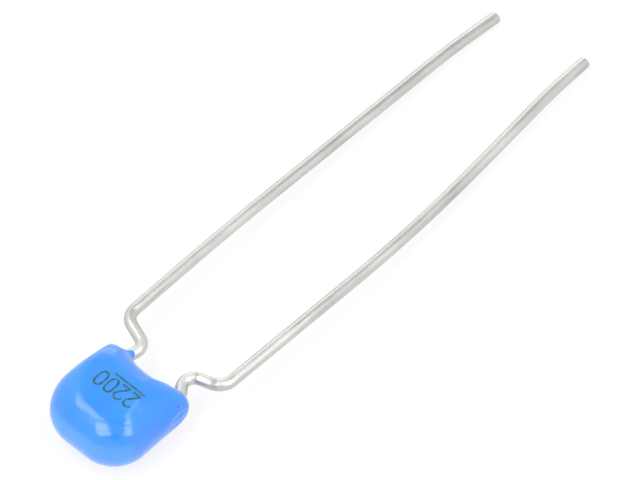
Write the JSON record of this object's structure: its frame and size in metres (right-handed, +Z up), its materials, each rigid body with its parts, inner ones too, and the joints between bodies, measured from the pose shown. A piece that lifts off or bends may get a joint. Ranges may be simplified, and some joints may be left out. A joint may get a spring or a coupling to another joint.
{
  "type": "radial-lead ceramic capacitor",
  "caption": "Small dipped ceramic capacitor with a glossy blue rounded-square coat and long kinked wire leads, lying flat; stores charge on a circuit board.",
  "frame": {"origin": "centre of the flat underside of the coat, under the middle of the chip", "axes": "+Y along the leads towards their tips, +X from the left lead to the right one, +Z up from the bench"},
  "size_m": [0.0058, 0.0284, 0.0025],
  "materials": {
    "blue_epoxy": "gloss",
    "chip_ceramic": "matte",
    "plate_metal": "satin",
    "cap_metal": "satin",
    "solder": "satin",
    "tinned_wire": "satin"
  },
  "bodies": {
    "root": {"epoxy_coating": "blue_epoxy", "ceramic_chip": "chip_ceramic", "left_electrodes": "plate_metal", "right_electrodes": "plate_metal", "left_termination": "cap_metal", "right_termination": "cap_metal", "left_solder": "solder", "right_solder": "solder", "left_lead": "tinned_wire", "right_lead": "tinned_wire"}
  },
  "joints": []
}
